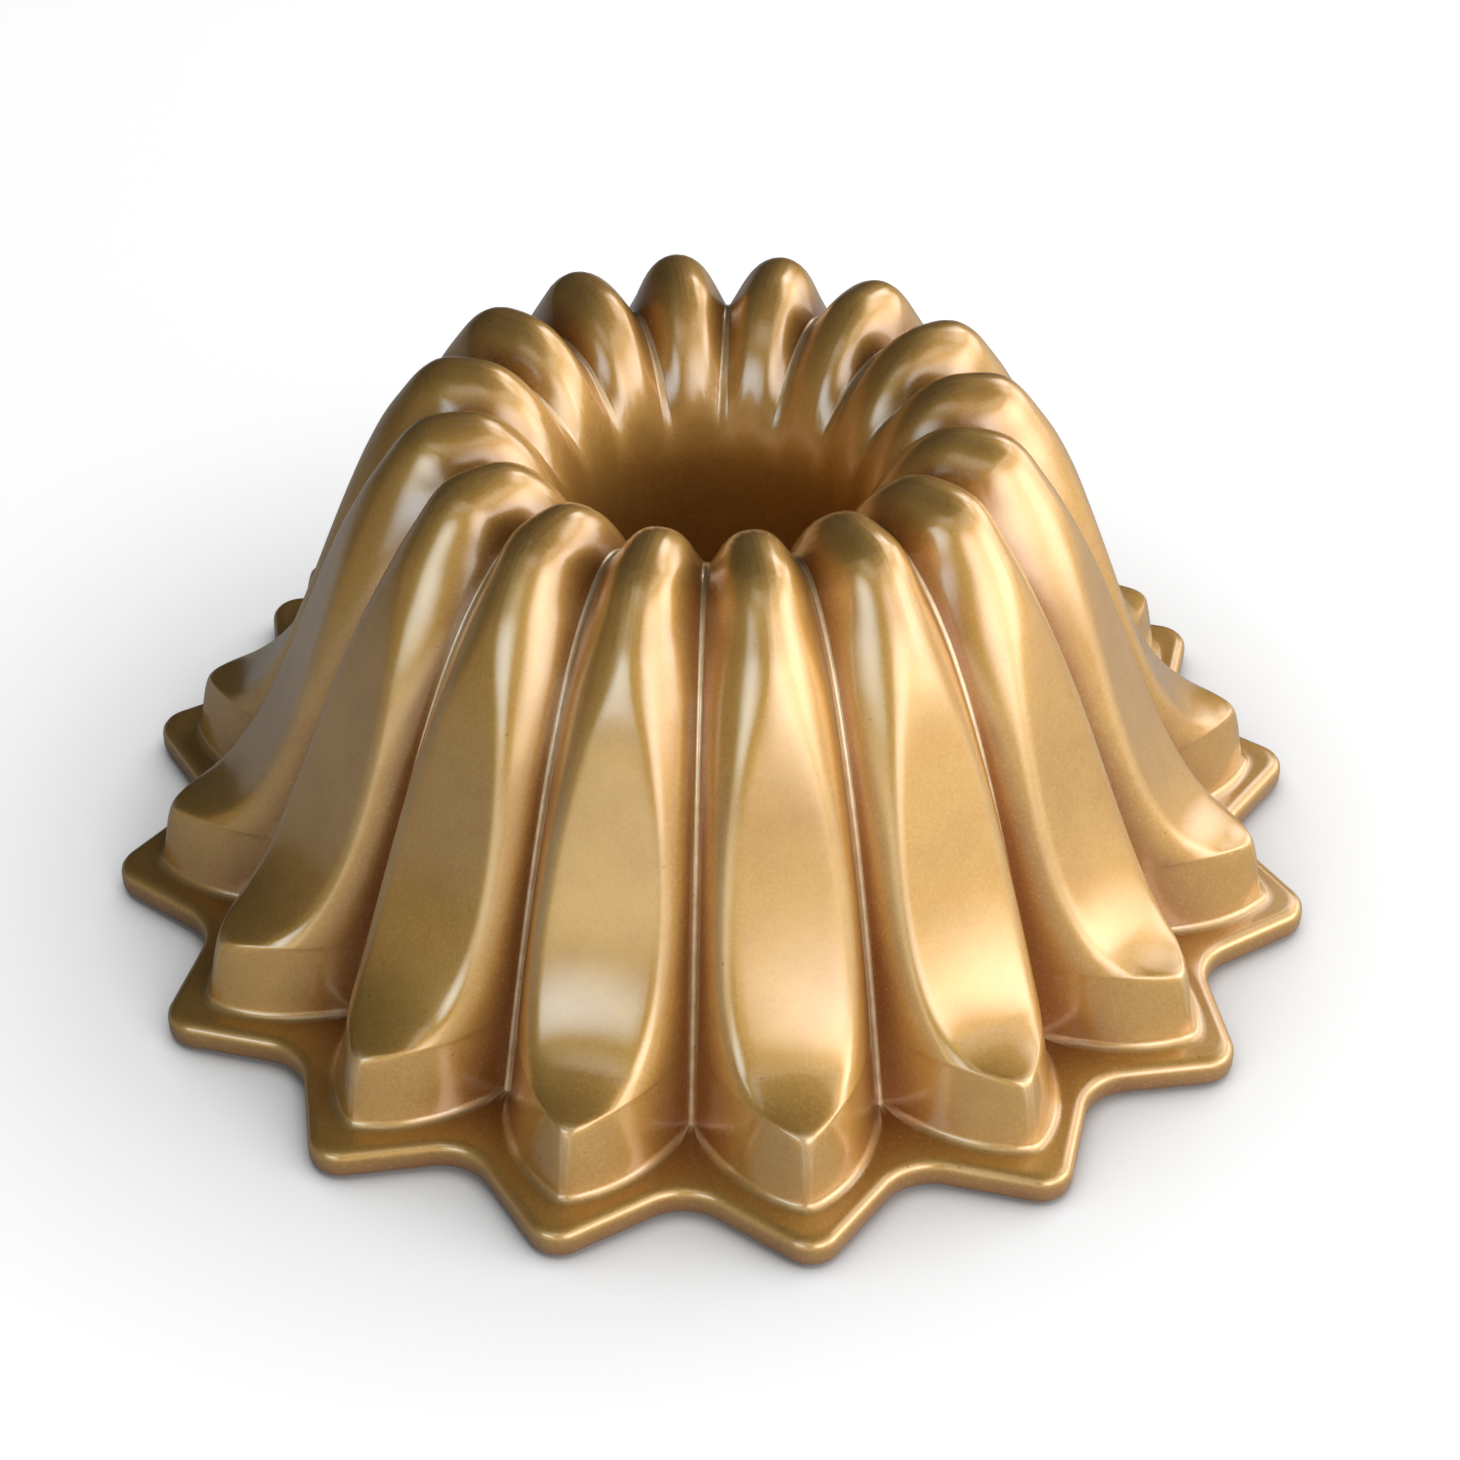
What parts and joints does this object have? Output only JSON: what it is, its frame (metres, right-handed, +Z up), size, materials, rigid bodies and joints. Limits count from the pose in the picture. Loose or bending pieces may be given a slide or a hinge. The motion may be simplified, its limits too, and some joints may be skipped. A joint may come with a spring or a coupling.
{
  "type": "fluted tube pan",
  "caption": "Fluted tube pan of satin gold cast aluminium with a star-shaped rim flange, leaf-shaped petal panels and an open centre tube, standing upside down on its rim.",
  "frame": {"origin": "centre of the plane that the rim flange's underside rests on", "axes": "+Z up through the centre tube towards the crown; a groove between two petals lies over each of +X, -X, +Y and -Y"},
  "size_m": [0.262, 0.262, 0.1172],
  "materials": {
    "rim_gold": "satin gold coating",
    "wall_gold": "satin gold coating",
    "crown_gold": "satin gold coating",
    "tube_gold": "satin gold coating"
  },
  "bodies": {
    "root": {"rim_flange": "rim_gold", "fluted_wall": "wall_gold", "crown": "crown_gold", "centre_tube": "tube_gold"}
  },
  "joints": []
}
